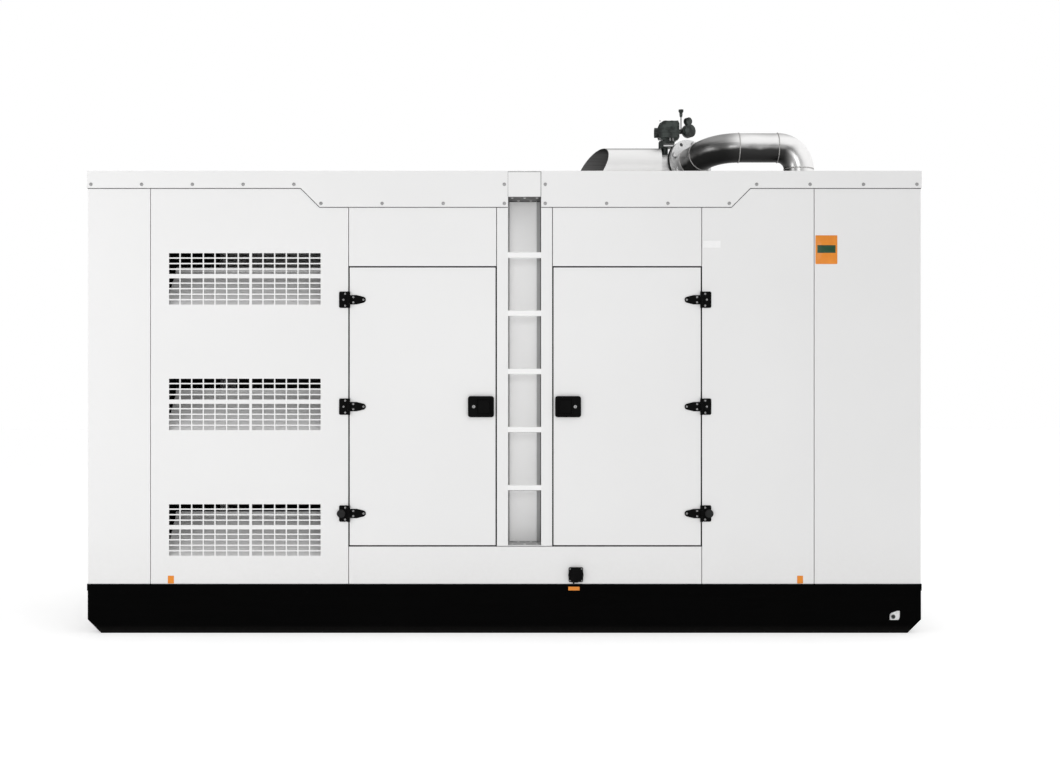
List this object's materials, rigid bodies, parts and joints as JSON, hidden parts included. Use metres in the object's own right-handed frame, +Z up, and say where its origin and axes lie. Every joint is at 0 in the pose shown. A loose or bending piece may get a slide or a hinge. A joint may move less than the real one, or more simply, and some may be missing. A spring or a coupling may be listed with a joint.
{
  "type": "soundproof diesel generator",
  "caption": "Weatherproof sheet-metal generator canopy on a skid base, with hinged side doors, a built-in ladder, punched air grilles and a valved exhaust line on the roof.",
  "frame": {"origin": "on the ground, under the middle of the skid base", "axes": "+X along the length, to the right of someone facing the doors; +Y from the doors to the back; +Z up"},
  "size_m": [4.506, 1.8, 3.0031],
  "materials": {
    "canopy_paint": "satin powder coat, near white",
    "base_paint": "glossy black paint",
    "black_fittings": "satin black",
    "rubber": "matt black",
    "foam": "dark open-cell lining",
    "stainless": "brushed, stained by heat",
    "zinc": "pale plated steel",
    "casting": "dark green-black paint on a casting",
    "engine_paint": "satin machine green",
    "alternator_paint": "satin grey",
    "radiator_black": "matt black"
  },
  "bodies": {
    "canopy": {"skid_rails": "base_paint", "skid_ends": "base_paint", "skid_cross_members": "base_paint", "deck_pan": "base_paint", "front_corner_left": "canopy_paint", "front_intake_panel": "canopy_paint", "front_header_left": "canopy_paint", "front_header_right": "canopy_paint", "front_sill": "canopy_paint", "front_plain_panel": "canopy_paint", "front_corner_right": "canopy_paint", "ladder_recess": "canopy_paint", "ladder_rungs": "canopy_paint", "ladder_cap": "canopy_paint", "door_frames": "canopy_paint", "door_seals": "rubber", "end_wall_left": "canopy_paint", "end_wall_right": "canopy_paint", "rear_corner_left": "canopy_paint", "rear_intake_panel": "canopy_paint", "rear_frame": "canopy_paint", "rear_plain_panel": "canopy_paint", "rear_corner_right": "canopy_paint", "rear_doors": "canopy_paint", "rear_hinges": "black_fittings", "rear_latches": "black_fittings", "wall_lining": "foam", "roof_lining": "foam", "intake_baffles": "canopy_paint", "roof_left": "canopy_paint", "roof_right": "canopy_paint", "hinge_leaves": "black_fittings", "hinge_buffers": "rubber", "sill_socket": "black_fittings", "roof_collar": "stainless", "exhaust_pipe": "stainless", "exhaust_flanges": "zinc", "valve_body": "casting", "valve_actuator": "casting", "exhaust_tail": "stainless", "exhaust_saddles": "stainless", "set_bearers": "base_paint", "engine": "engine_paint", "alternator": "alternator_paint", "radiator": "radiator_black"},
    "left_door": {"door_left": "canopy_paint", "door_left_lining": "foam", "door_left_straps": "black_fittings", "door_left_latch": "black_fittings"},
    "right_door": {"door_right": "canopy_paint", "door_right_lining": "foam", "door_right_straps": "black_fittings", "door_right_latch": "black_fittings"},
    "left_paddle": {"door_left_paddle": "black_fittings"},
    "right_paddle": {"door_right_paddle": "black_fittings"}
  },
  "joints": [
    {"name": "left_door_swing", "type": "hinge", "parent": "canopy", "child": "left_door", "pos_m": [-0.839, -0.887, 1.2235], "axis": [0, 0, -1], "range_deg": [0, 120]},
    {"name": "right_door_swing", "type": "hinge", "parent": "canopy", "child": "right_door", "pos_m": [1.064, -0.887, 1.2235], "axis": [0, 0, 1], "range_deg": [0, 120]},
    {"name": "left_paddle_pull", "type": "hinge", "parent": "left_door", "child": "left_paddle", "pos_m": [-0.138, -0.8815, 1.222], "axis": [0, 0, -1], "range_deg": [0, 35], "stiffness_Nm_per_rad": 0.6},
    {"name": "right_paddle_pull", "type": "hinge", "parent": "right_door", "child": "right_paddle", "pos_m": [0.356, -0.8815, 1.222], "axis": [0, 0, 1], "range_deg": [0, 35], "stiffness_Nm_per_rad": 0.6}
  ]
}
